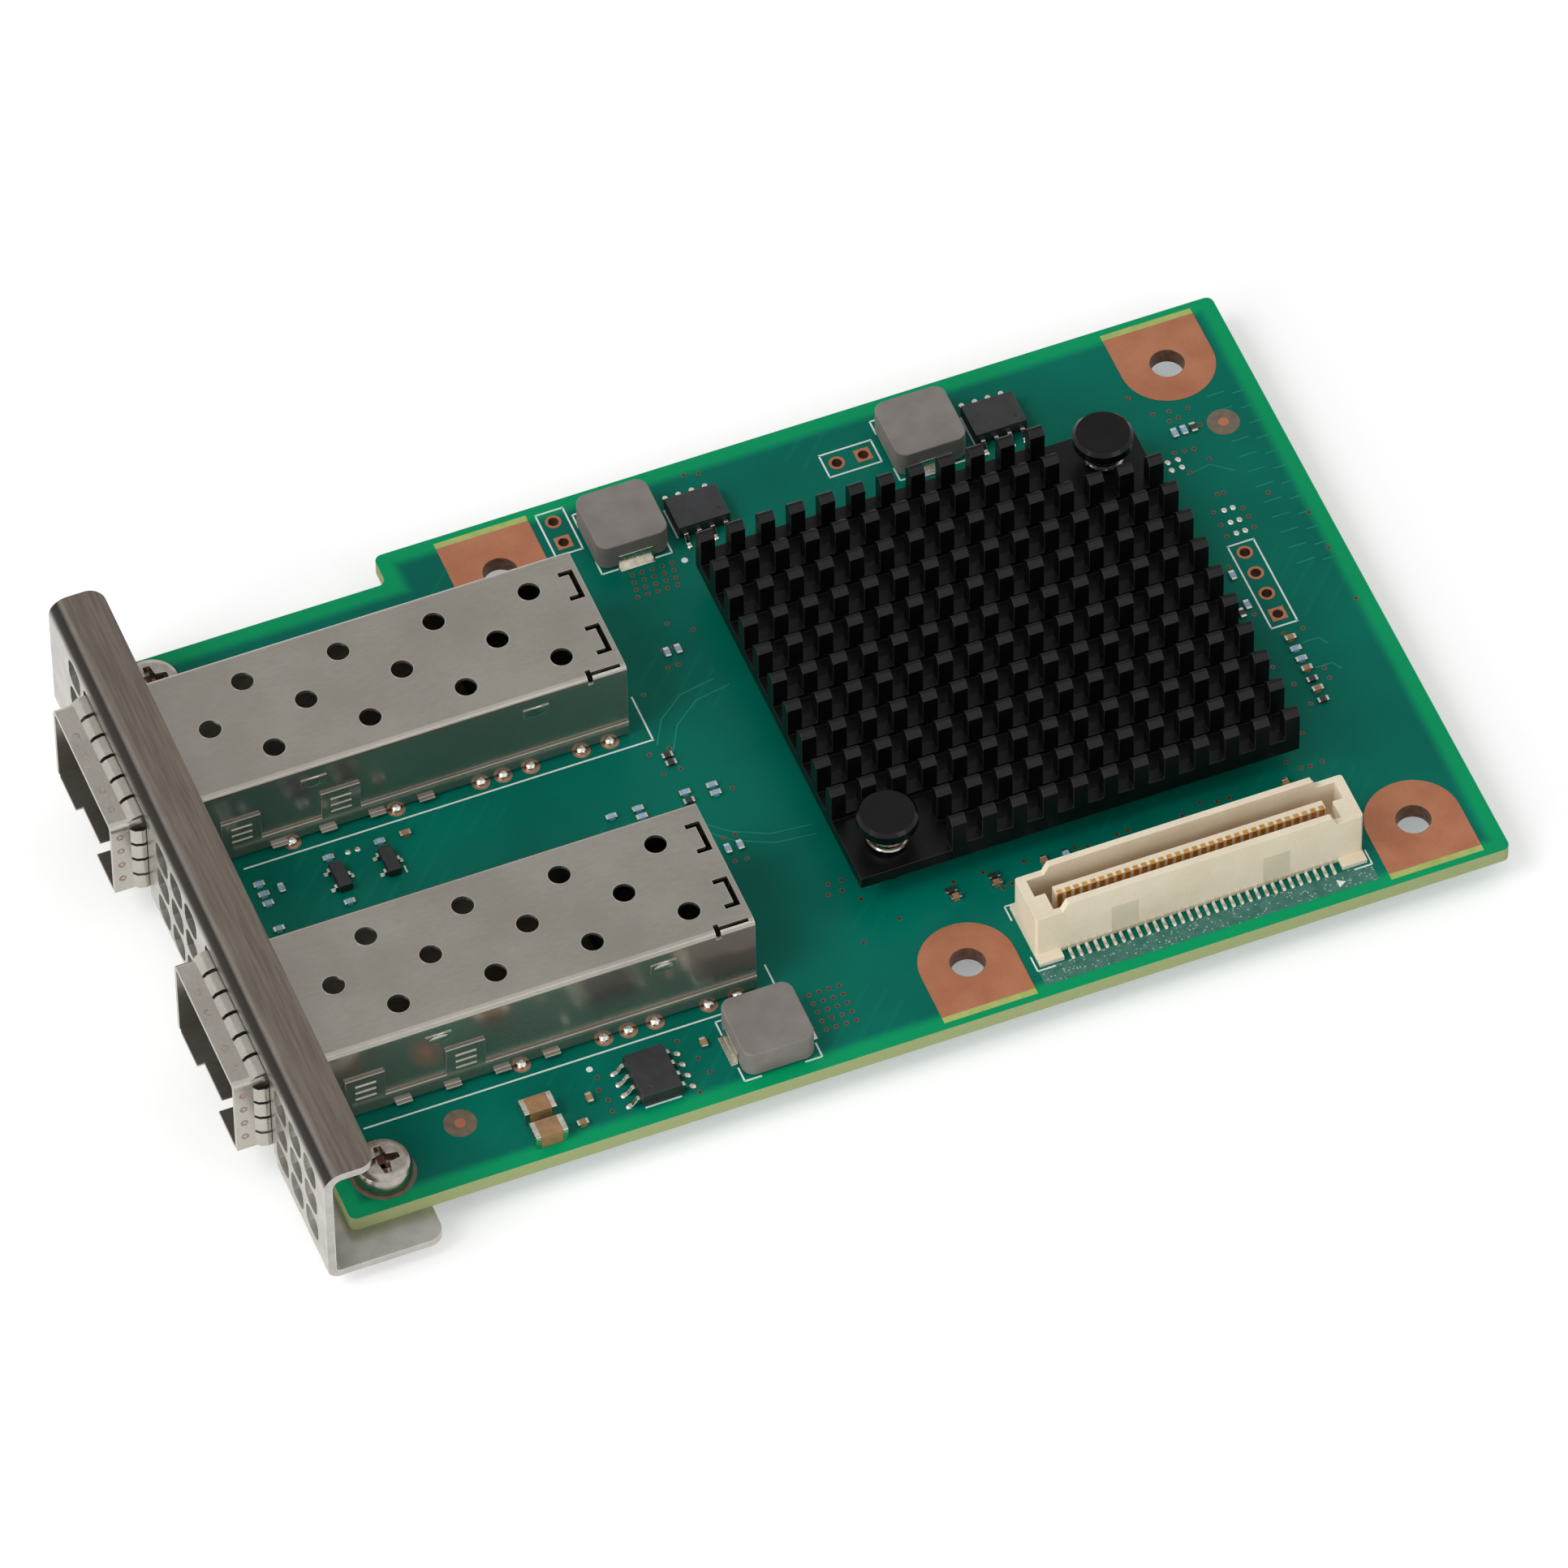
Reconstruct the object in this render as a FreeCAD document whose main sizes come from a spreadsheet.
"""Dual-port network interface card for a server's mezzanine slot.

Millimetres, +Z up out of the component side, +X from the port faceplate to the rear of the
board, +Y to the far long edge. Most pieces are drawn in the board's own coordinates, measured
from its near left corner with the top copper at height 0, and each is then placed so that the
origin of the card is halfway between the two mounting holes of the near edge.
"""
import FreeCAD, Part
import math
import os
import re
import Sketcher

# Driving sizes in millimetres (counts where the name says so).
SIZES = {
    # circuit board
    "board_length": 108.9, "board_width": 68.65, "board_thickness": 1.57, "board_corner": 0.7,
    "notch_length": 28.0, "notch_depth": 3.3,
    "mount_hole": 3.2, "near_left_x": 59.9, "far_left_x": 37.9, "right_x": 102.2,
    "near_hole_y": 6.15, "far_hole_inset": 5.9,
    "header_hole": 1.0, "header_pitch": 2.54, "header_pins": 4,
    "side_header_x": 100.18, "side_header_y": 32.16,
    "short_header_x": 70.35, "short_header_inset": 5.5,
    "end_header_x": 44.35, "end_header_inset": 4.84,
    # bare copper landings round the mounting holes
    "copper": 0.05, "landing_radius": 4.4, "landing_inset": 1.3,
    # faceplate bracket
    "plate_sheet": 0.8, "plate_gap": 2.7, "plate_near": 3.5, "plate_far": 0.05,
    "plate_top": 11.8, "plate_bend": 1.8, "foot_bend": 1.2, "flange_depth": 4.9,
    "flange_corner": 1.5, "foot_reach": 7.45, "foot_width": 12.5, "plate_hem": 0.4,
    "vent_side": 3.0, "vent_pitch": 3.63, "vent_round": 0.9, "vent_rows": 3, "vent_columns": 3,
    "vent_low": 1.42, "vent_gap": 10.4,
    # screws that clamp the board to the bracket's feet
    "screw_x": 4.4, "screw_inset": 3.85, "screw_shank": 2.5,
    "screw_head": 5.2, "screw_head_height": 1.9, "screw_round": 0.7, "screw_tip": 0.65,
    "cross_length": 3.0, "cross_width": 1.1, "cross_tip": 0.6, "cross_depth": 1.1, "shank_clearance": 0.1,
    # port cages
    "near_port_y": 17.8, "port_spacing": 30.7, "cage_width": 14.5, "cage_height": 9.0,
    "cage_lift": 0.3, "cage_rear": 41.8, "cage_sheet": 0.3, "base_sheet": 0.25,
    "snout_reach": 3.1, "cage_corner": 0.6,
    "cage_vent": 2.0, "cage_vent_pitch": 9.0, "cage_vent_x": 9.9, "cage_vent_y": 4.0,
    "cage_vents": 4,
    "rear_slot": 0.5, "rear_slot_leg": 0.9, "rear_slot_inner": 1.6, "rear_slot_outer": 5.0,
    "bend_slit": 0.35, "bend_slit_length": 2.7,
    "dimple_length": 2.4, "dimple_height": 1.2, "dimple_raise": 0.12, "dimple_z": 7.1,
    "dimple_x": 12.3, "dimple_pitch": 20.9,
    "skirt_front": 0.9, "skirt_height": 1.4,
    "tab_x": 3.5, "tab_width": 3.7, "tab_pitch": 9.3, "tab_height": 4.7,
    "rung_length": 1.9, "rung_height": 0.4, "rung_pitch": 0.85, "rung_raise": 0.12,
    "rung_count": 3, "rung_z": 2.2,
    "toe_x": 8.0, "toe_length": 1.5, "toe_reach": 0.45, "toe_pitch": 4.6, "toe_count": 4,
    "tongue_width": 4.4, "tongue_slot": 0.5, "tongue_raise": 0.8, "tongue_root": 0.8,
    "tongue_slope": 1.6, "tongue_inset": 0.5,
    # spring collar round each snout
    "collar_sheet": 0.15, "collar_gap": 0.02, "collar_band": 1.6, "finger_span": 2.4,
    "finger_rise": 0.7, "finger_bow": 1.38, "top_finger_width": 2.1, "top_fingers": 6,
    "side_finger_width": 1.72, "side_finger_pitch": 2.07, "side_fingers": 4,
    "side_finger_low": 1.0, "aperture_clearance": 0.05,
    # receptacle inside each cage
    "port_front": 30.5, "port_depth": 10.0, "port_width": 11.2, "port_height": 6.4,
    "port_slot_width": 9.0, "port_slot_height": 2.0, "port_slot_low": 2.6,
    "port_slot_depth": 6.5, "port_pitch": 0.8, "port_contacts": 10, "port_contact": 0.4,
    "port_contact_thick": 0.3, "port_contact_length": 4.5, "port_floor_gap": 0.4,
    # solder mounds of the cage pins
    "mound": 0.5, "mound_height": 0.24,
    # heat sink and the chip under it
    "sink_x": 74.4, "sink_y": 35.2, "sink_length": 41.6, "sink_width": 39.5,
    "sink_height": 5.1, "sink_base": 1.3, "sink_web": 0.55,
    "fin_thick": 1.3, "fin_round": 0.5, "fin_rows": 12, "post_length": 1.4,
    "post_columns": 15, "clear_columns": 3, "clear_rows": 2,
    "chip_side": 25.0, "chip_substrate": 1.3, "chip_lid_side": 21.0, "chip_lid": 1.0,
    "pad_side": 20.0, "pad_thick": 0.2,
    "pin_inset_x": 3.85, "pin_inset_y": 3.33, "pin_shaft": 2.9, "pin_cap": 5.5,
    "pin_cap_height": 1.2, "pin_cap_low": 6.35, "pin_cap_bevel": 0.3, "pin_barb": 3.9,
    "pin_barb_length": 2.4, "pin_tip": 1.4, "pin_split": 0.8, "pin_clearance": 0.2,
    "spring_wire": 0.46, "spring_turns": 2.4, "spring_clearance": 0.08,
    # mezzanine connector
    "mezz_y": 6.78, "mezz_length": 31.0, "mezz_width": 5.05, "mezz_height": 5.4,
    "mezz_wall": 0.6, "mezz_wall_rise": 1.0, "mezz_wall_length": 25.9, "mezz_wall_ramp": 0.5,
    "mezz_floor": 1.0, "mezz_far_end": 0.9, "mezz_near_end": 1.9,
    "mezz_tongue_length": 25.5, "mezz_tongue": 0.92, "mezz_foot_length": 2.3,
    "mezz_foot_reach": 1.0, "mezz_foot_height": 0.45,
    "mezz_pitch": 0.8, "mezz_contacts": 32, "mezz_contact_width": 0.34,
    "mezz_contact_thick": 0.1, "mezz_contact_height": 3.9, "mezz_tail_reach": 1.2,
    "mezz_tail_thick": 0.18,
    # power inductors
    "coil_length": 6.8, "coil_width": 6.7, "coil_height": 3.0, "coil_corner": 1.1,
    "strap_width": 3.3, "strap_thick": 0.15, "strap_height": 1.6, "strap_foot": 0.7,
    "left_coil_x": 49.5, "right_coil_x": 78.2, "far_coil_inset": 6.0,
    "near_coil_x": 40.6, "near_coil_y": 4.85,
    # eight-lead regulators
    "reg_length": 4.9, "reg_width": 3.9, "reg_height": 1.5, "reg_pitch": 1.27,
    "reg_lead_width": 0.42, "reg_span": 6.1, "pin_mark": 0.6, "pin_mark_depth": 0.08,
    "left_reg_x": 56.5, "right_reg_x": 85.1, "far_reg_inset": 6.55,
    "near_reg_x": 29.7, "near_reg_y": 4.4,
    # three-lead transistors
    "fet_length": 2.9, "fet_width": 1.35, "fet_height": 1.0, "fet_pitch": 1.9,
    "fet_lead_width": 0.42, "fet_span": 2.5, "left_fet_x": 12.4, "right_fet_x": 17.0,
    "fet_y": 35.4,
    "lead_thick": 0.18, "lead_foot": 0.5, "package_lift": 0.12, "mold_taper": 0.12,
    # small chip parts
    "chip_length": 1.05, "chip_width": 0.55, "chip_height": 0.35, "chip_cap": 0.25,
    "cap_height": 0.5, "bulk_length": 3.0, "bulk_width": 1.8, "bulk_height": 1.6,
    "bulk_cap": 0.5,
    "column_x": 100.05, "column_y": 29.0, "column_pitch": 1.25,
    # step of the placement grid that the small parts and the cage pins stand on
    "grid": 0.05,
}

doc = FreeCAD.newDocument("NetworkCard")
sheet = doc.addObject("Spreadsheet::Sheet", "Sizes")
for row, (size_name, size) in enumerate(SIZES.items(), start=1):
    sheet.set(f"A{row}", size_name)
    sheet.set(f"B{row}", str(size))
    sheet.setAlias(f"B{row}", size_name)
doc.recompute()

# Heights and places that several pieces share, as formulas in the sizes above.
DATUM_X = "(near_left_x + right_x) / 2"
DATUM_Y = "near_hole_y"
FAR_HOLE_Y = "(board_width - far_hole_inset)"
FRONT_WIDTH = "(board_width - notch_depth)"
BOARD_BOTTOM = "-board_thickness"
PLATE_BOTTOM = "(-board_thickness - plate_sheet)"
PLATE_FRONT = "(-plate_gap - plate_sheet)"
SNOUT_FRONT = "(-plate_gap - plate_sheet - snout_reach)"
FLOOR_TOP = "(cage_lift + base_sheet)"
CAGE_TOP = "(cage_lift + cage_height)"
SINK_BOTTOM = "(chip_substrate + chip_lid + pad_thick)"
SINK_DECK = f"({SINK_BOTTOM} + sink_base)"

PIN_X = "(sink_length / 2 - pin_inset_x)"
PIN_Y = "(sink_width / 2 - pin_inset_y)"
PORT_Y = {"near": "near_port_y", "far": "(near_port_y + port_spacing)"}
SCREW_Y = {"near": "screw_inset", "far": f"({FRONT_WIDTH} - screw_inset)"}

NODES = []


# ---------------------------------------------------------------- drawing helpers
def formula(text):
    """An expression on the sheet, from a formula written in size names."""
    return re.sub(r"[a-z]\w*",
                  lambda word: "Sizes." + word.group() if word.group() in SIZES else word.group(),
                  str(text))


def value(text):
    """The number that a formula gives at the present sizes."""
    return float(sheet.evalExpression(str(text)))


def bind(thing, prop, text):
    thing.setExpression(prop, formula(text))


def place(thing, x="0", y="0", z="0", turn=0):
    """Put a piece at x, y, z, turned about the vertical by whole quarter turns."""
    thing.Placement = FreeCAD.Placement(
        FreeCAD.Vector(), FreeCAD.Rotation(FreeCAD.Vector(0, 0, 1), turn))
    bind(thing, "Placement.Base.x", x)
    bind(thing, "Placement.Base.y", y)
    bind(thing, "Placement.Base.z", z)
    return thing


def node(thing, label, x="0", y="0"):
    """Name a finished piece and place it from the board's corner into the card's frame."""
    thing.Label = label
    place(thing, f"{x} - {DATUM_X}", f"{y} - {DATUM_Y}")
    NODES.append(thing)


def group(members, label, x="0", y="0"):
    """Put like pieces, each a solid of its own, into one node."""
    compound = doc.addObject("Part::Compound", label)
    compound.Links = members
    node(compound, label, x, y)


def new_body(name):
    return doc.addObject("PartDesign::Body", name)


def origin_part(body, role):
    return next(part for part in body.Origin.OriginFeatures if part.Role == role)


def sketch(body, plane, at="0"):
    """Start a sketch on a plane of the body: XY seen from above, XZ or YZ, moved to `at`."""
    drawing = body.newObject("Sketcher::SketchObject", f"{body.Name}_sketch")
    drawing.AttachmentSupport = [(origin_part(body, plane + "_Plane"), "")]
    drawing.MapMode = "FlatFace"
    sign = "-" if plane == "XZ" else ""
    bind(drawing, "AttachmentOffset.Base.z", f"{sign}({at})")
    return drawing


def fix(drawing, index, position, u, v):
    """Hold one point of a sketch at u, v."""
    for kind, text in (("DistanceX", u), ("DistanceY", v)):
        constraint = drawing.addConstraint(
            Sketcher.Constraint(kind, -1, 1, index, position, value(text)))
        bind(drawing, f"Constraints[{constraint}]", text)


def direction(start, end):
    """Unit step from start to end along the axis they share, else None."""
    u = value(end[0]) - value(start[0])
    v = value(end[1]) - value(start[1])
    if abs(u) > 1e-9 and abs(v) > 1e-9:
        return None
    return (0 if abs(u) < 1e-9 else int(math.copysign(1, u)),
            0 if abs(v) < 1e-9 else int(math.copysign(1, v)))


def stations(corners):
    """Points of a loop, each with the arc (radius, turn) that follows it, or None for a line.

    A corner is (u, v), or (u, v, radius) where level and upright edges meet in a rounding,
    or (u, v, radius, turn) where a bow of that radius runs to the next corner.
    """
    points = []
    for index, corner in enumerate(corners):
        if len(corner) == 3:
            u, v, radius = corner
            into = direction(corners[index - 1], corner)
            out = direction(corner, corners[(index + 1) % len(corners)])
            turn = into[0] * out[1] - into[1] * out[0]
            points.append((f"{u} - ({radius}) * ({into[0]})", f"{v} - ({radius}) * ({into[1]})",
                           (radius, turn)))
            points.append((f"{u} + ({radius}) * ({out[0]})", f"{v} + ({radius}) * ({out[1]})",
                           None))
        else:
            points.append((corner[0], corner[1], corner[2:] or None))
    return points


def arc_between(start, end, radius, turn):
    """The short arc from start to end; turn is 1 when it runs anticlockwise."""
    chord = end - start
    reach = math.sqrt(max(radius ** 2 - (chord.Length / 2) ** 2, 0))
    side = FreeCAD.Vector(-chord.y, chord.x, 0).normalize() * turn
    centre = (start + end) / 2 + side * reach
    first, last = (start, end) if turn > 0 else (end, start)
    angles = [math.atan2(point.y - centre.y, point.x - centre.x) for point in (first, last)]
    circle = Part.Circle(centre, FreeCAD.Vector(0, 0, 1), radius)
    return Part.ArcOfCircle(circle, angles[0], angles[1])


def outline(drawing, corners):
    """Draw a closed loop whose every point is held by a formula."""
    points = stations(corners)
    first = drawing.GeometryCount
    ends = []
    for index, (u, v, bow) in enumerate(points):
        following = points[(index + 1) % len(points)]
        start = FreeCAD.Vector(value(u), value(v), 0)
        end = FreeCAD.Vector(value(following[0]), value(following[1]), 0)
        if bow:
            radius, turn = bow
            edge = arc_between(start, end, value(radius), turn)
            ends.append((1, 2) if turn > 0 else (2, 1))
        else:
            edge = Part.LineSegment(start, end)
            ends.append((1, 2))
        drawing.addGeometry(edge, False)
    for index, (u, v, bow) in enumerate(points):
        after = (index + 1) % len(points)
        drawing.addConstraint(Sketcher.Constraint(
            "Coincident", first + index, ends[index][1], first + after, ends[after][0]))
        fix(drawing, first + index, ends[index][0], u, v)
        if bow:
            constraint = drawing.addConstraint(
                Sketcher.Constraint("Radius", first + index, value(bow[0])))
            bind(drawing, f"Constraints[{constraint}]", bow[0])
    return drawing


def rectangle(drawing, left, right, low, high, radius=None):
    """A rectangle, with all four corners rounded when a radius is given."""
    rounding = (radius,) if radius else ()
    return outline(drawing, [(left, low, *rounding), (right, low, *rounding),
                             (right, high, *rounding), (left, high, *rounding)])


# How far the middle of a quarter round of radius 1 lies inside its square corner.
EASED = "(1 - cos(45))"


def eased_rectangle(drawing, left, right, low, high, radius):
    """A rectangle whose corners are eased in two flats, through the middle of a quarter round."""
    corners = []
    for u, v, along, up, flip in ((left, low, 1, 1, -1), (right, low, -1, 1, 1),
                                  (right, high, -1, -1, -1), (left, high, 1, -1, 1)):
        eased = [(f"{u} + {along} * {radius}", v),
                 (f"{u} + {along} * {radius} * {EASED}", f"{v} + {up} * {radius} * {EASED}"),
                 (u, f"{v} + {up} * {radius}")]
        corners += eased[::flip]
    return outline(drawing, corners)


def circle(drawing, u, v, diameter):
    """A circle held by its centre and its diameter."""
    centre = FreeCAD.Vector(value(u), value(v), 0)
    index = drawing.addGeometry(
        Part.Circle(centre, FreeCAD.Vector(0, 0, 1), value(diameter) / 2), False)
    fix(drawing, index, 3, u, v)
    constraint = drawing.addConstraint(Sketcher.Constraint("Diameter", index, value(diameter)))
    bind(drawing, f"Constraints[{constraint}]", diameter)
    return drawing


# ---------------------------------------------------------------- feature helpers
def feature(drawing, kind):
    """Add a feature on a sketch's own body and make it the body's tip."""
    body = drawing.getParentGeoFeatureGroup()
    made = body.newObject(kind, f"{body.Name}_{kind.split('::')[1]}")
    made.Profile = drawing
    body.Tip = made
    return made


def backwards(drawing):
    """True on the XZ plane, whose normal points to -Y."""
    return drawing.AttachmentSupport[0][0].Role == "XZ_Plane"


def pad(drawing, length):
    """Extrude a sketch in the positive direction of the axis it faces."""
    made = feature(drawing, "PartDesign::Pad")
    made.Reversed = backwards(drawing)
    bind(made, "Length", length)
    return made


def cut(drawing, depth=None):
    """Cut right through, or to a depth in the negative direction of the axis it faces."""
    made = feature(drawing, "PartDesign::Pocket")
    if depth is None:
        made.Type = "ThroughAll"
        made.Midplane = True
    else:
        made.Reversed = backwards(drawing)
        bind(made, "Length", depth)
    return made


def spin(drawing):
    """Turn a sketch on the XZ plane once round the vertical axis."""
    made = feature(drawing, "PartDesign::Revolution")
    made.ReferenceAxis = (origin_part(drawing.getParentGeoFeatureGroup(), "Z_Axis"), [""])
    made.Angle = 360
    return made


def pattern_along(body, axis, spacing, count):
    """A linear pattern of `count` places along an axis, still without a feature to copy."""
    pattern = body.newObject("PartDesign::LinearPattern", f"{body.Name}_pattern")
    pattern.Direction = (origin_part(body, axis + "_Axis"), [""])
    pattern.Mode = "Spacing"
    bind(pattern, "Offset", spacing)
    bind(pattern, "Occurrences", count)
    return pattern


def repeat(made, axis, spacing, count):
    """Copy a feature `count` times along an axis."""
    body = made.getParentGeoFeatureGroup()
    pattern = pattern_along(body, axis, spacing, count)
    pattern.Originals = [made]
    body.Tip = pattern
    return pattern


def repeat_in_rows(made, *directions):
    """Copy a feature over a field: each direction is an axis, a spacing and a count."""
    body = made.getParentGeoFeatureGroup()
    field = body.newObject("PartDesign::MultiTransform", f"{body.Name}_field")
    field.Originals = [made]
    field.Transformations = [pattern_along(body, *direction) for direction in directions]
    body.Tip = field


def vertical_corners(body, radius, at_x):
    """Round the upright edges of a body that stand at one x."""
    doc.recompute()
    base = body.Tip
    names = []
    for number, edge in enumerate(base.Shape.Edges, start=1):
        ends = [vertex.Point for vertex in edge.Vertexes]
        upright = len(ends) == 2 and abs(ends[0].x - ends[1].x) + abs(ends[0].y - ends[1].y) < 1e-6
        if upright and abs(ends[0].x - value(at_x)) < 1e-6:
            names.append(f"Edge{number}")
    made = body.newObject("PartDesign::Fillet", f"{body.Name}_corners")
    made.Base = (base, names)
    bind(made, "Radius", radius)
    body.Tip = made
    return made


def box(name, x, y, z, length, width, height):
    """A plain block with its low corner at x, y, z."""
    block = doc.addObject("Part::Box", name)
    bind(block, "Length", length)
    bind(block, "Width", width)
    bind(block, "Height", height)
    return place(block, x, y, z)


# ---------------------------------------------------------------- circuit board
def circuit_board():
    """Laminate with a stepped far edge and every hole that the parts on it use."""
    body = new_body("circuit_board")
    edge = sketch(body, "XY", BOARD_BOTTOM)
    outline(edge, [("0", "0", "board_corner"),
                   ("board_length", "0", "board_corner"),
                   ("board_length", "board_width", "board_corner"),
                   ("notch_length", "board_width", "board_corner"),
                   ("notch_length", FRONT_WIDTH, "board_corner"),
                   ("0", FRONT_WIDTH, "board_corner")])
    pad(edge, "board_thickness")
    holes = sketch(body, "XY")
    for x, y in (("near_left_x", "near_hole_y"), ("right_x", "near_hole_y"),
                 ("far_left_x", FAR_HOLE_Y), ("right_x", FAR_HOLE_Y)):
        circle(holes, x, y, "mount_hole")
    for y in SCREW_Y.values():
        circle(holes, "screw_x", y, "screw_shank + 2 * shank_clearance")
    for side in ("-", "+"):
        circle(holes, f"sink_x {side} {PIN_X}", f"sink_y {side} {PIN_Y}",
               "pin_shaft + pin_clearance")
    cut(holes)
    side_header = circle(sketch(body, "XY"), "side_header_x", "side_header_y", "header_hole")
    repeat(cut(side_header), "Y", "header_pitch", "header_pins")
    short_y = "board_width - short_header_inset"
    end_y = "board_width - end_header_inset"
    short_headers = circle(sketch(body, "XY"), "short_header_x", short_y, "header_hole")
    circle(short_headers, "short_header_x + header_pitch", short_y, "header_hole")
    circle(short_headers, "end_header_x", end_y, "header_hole")
    circle(short_headers, "end_header_x", f"{end_y} + header_pitch", "header_hole")
    cut(short_headers)
    node(body, "circuit_board")


def landing(name, x, y, to_edge, turn):
    """Bare copper round a mounting hole, open to the board's edge: a U with a round end."""
    body = new_body(name)
    round_end = "(landing_radius - copper)"
    shape = sketch(body, "XY")
    outline(shape, [("-landing_radius", f"-({to_edge})"), ("landing_radius", f"-({to_edge})"),
                    ("landing_radius", "landing_radius", round_end),
                    ("-landing_radius", "landing_radius", round_end)])
    circle(shape, "0", "0", "mount_hole")
    pad(shape, "copper")
    return place(body, x, y, turn=turn)


def ground_landings():
    near_edge = "near_hole_y - landing_inset"
    far_edge = "far_hole_inset - landing_inset"
    group([landing("landing_near_left", "near_left_x", "near_hole_y", near_edge, 0),
           landing("landing_near_right", "right_x", "near_hole_y", near_edge, 0),
           landing("landing_far_left", "far_left_x", FAR_HOLE_Y, far_edge, 180),
           landing("landing_far_right", "right_x", FAR_HOLE_Y, far_edge, 180)],
          "ground_landings")


# ---------------------------------------------------------------- faceplate bracket
def vent_column(body, y):
    """One upright row of rounded square vents in the faceplate."""
    drawing = sketch(body, "YZ", PLATE_FRONT)
    eased_rectangle(drawing, f"{y} - vent_side / 2", f"{y} + vent_side / 2",
                    "vent_low - vent_side / 2", "vent_low + vent_side / 2", "vent_round")
    return drawing


def vent_field(body, y, columns):
    """Vents in rows and columns, starting at the column nearest to the viewer's edge."""
    repeat_in_rows(cut(vent_column(body, y)), ("Z", "vent_pitch", "vent_rows"),
                   ("Y", "vent_pitch", columns))


def faceplate_bracket():
    """Bent channel: faceplate, top flange and two feet that the board stands on."""
    body = new_body("faceplate_bracket")
    near = "-plate_near"
    far = f"({FRONT_WIDTH} + plate_far)"
    back = f"({PLATE_FRONT} + plate_sheet)"
    under_flange = "(plate_top - plate_sheet)"
    flange_tip = f"{PLATE_FRONT} + flange_depth"
    section = sketch(body, "XZ", near)
    outline(section, [(flange_tip, "plate_top"), (PLATE_FRONT, "plate_top", "plate_bend"),
                      (PLATE_FRONT, PLATE_BOTTOM, "foot_bend"), ("foot_reach", PLATE_BOTTOM),
                      ("foot_reach", BOARD_BOTTOM),
                      (back, BOARD_BOTTOM, "(foot_bend - plate_sheet)"),
                      (back, under_flange, "(plate_bend - plate_sheet)"),
                      (flange_tip, under_flange)])
    pad(section, f"{far} - {near}")
    # between the feet the plate ends in a hem just below the board's top
    rectangle_below = sketch(body, "YZ")
    rectangle(rectangle_below, f"{near} + foot_width", f"{far} - foot_width",
              f"{PLATE_BOTTOM} - plate_sheet", "-plate_hem")
    cut(rectangle_below)
    # a window for each snout, open at the bottom, that the collar's fingers press against
    half = "(cage_width / 2 + collar_gap + finger_rise + aperture_clearance)"
    windows = sketch(body, "YZ")
    for port in PORT_Y.values():
        top = f"{CAGE_TOP} + collar_gap + finger_rise + aperture_clearance"
        outline(windows, [(f"{port} - {half}", "-plate_hem - plate_sheet"),
                          (f"{port} + {half}", "-plate_hem - plate_sheet"),
                          (f"{port} + {half}", top, "cage_corner"),
                          (f"{port} - {half}", top, "cage_corner")])
    cut(windows)
    # three fields of vents: beyond each port, and midway between the two
    across = "(vent_pitch * (vent_columns - 1))"
    vent_field(body, f"({PORT_Y['near']} - vent_gap - {across})", "vent_columns")
    vent_field(body, f"(near_port_y + port_spacing / 2 - {across} / 2)", "vent_columns")
    vent_field(body, f"({PORT_Y['far']} + vent_gap)", 1)
    screw_holes = sketch(body, "XY", PLATE_BOTTOM)
    for y in SCREW_Y.values():
        circle(screw_holes, "screw_x", y, "screw_shank + shank_clearance")
    cut(screw_holes, "-plate_sheet")
    vertical_corners(body, "flange_corner", flange_tip)
    vertical_corners(body, "flange_corner", "foot_reach")
    node(body, "faceplate_bracket")


def bracket_screw(name, y):
    """Pan-head screw with a cross recess, down through the board into a foot."""
    body = new_body(name)
    tip = f"({PLATE_BOTTOM} - screw_tip)"
    half = sketch(body, "XZ")
    outline(half, [("0", tip), ("screw_shank / 2 - shank_clearance", tip),
                   ("screw_shank / 2", f"{tip} + 2 * shank_clearance"), ("screw_shank / 2", "0"),
                   ("screw_head / 2", "0"), ("screw_head / 2", "screw_head_height - screw_round"),
                   (f"screw_head / 2 - screw_round * {EASED}",
                    f"screw_head_height - screw_round * {EASED}"),
                   ("screw_head / 2 - screw_round", "screw_head_height"),
                   ("0", "screw_head_height")])
    spin(half)
    # each bar of the cross narrows from the middle to its tips
    bar = [("cross_length / 2", "cross_tip / 2"), ("0", "cross_width / 2"),
           ("-cross_length / 2", "cross_tip / 2"), ("-cross_length / 2", "-cross_tip / 2"),
           ("0", "-cross_width / 2"), ("cross_length / 2", "-cross_tip / 2")]
    for corners in (bar, [(across, along) for along, across in bar]):
        recess = sketch(body, "XY", "screw_head_height")
        outline(recess, corners)
        cut(recess, "cross_depth")
    return place(body, "screw_x", y)


def bracket_screws():
    group([bracket_screw(f"screw_{side}", y) for side, y in SCREW_Y.items()], "bracket_screws")


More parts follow.
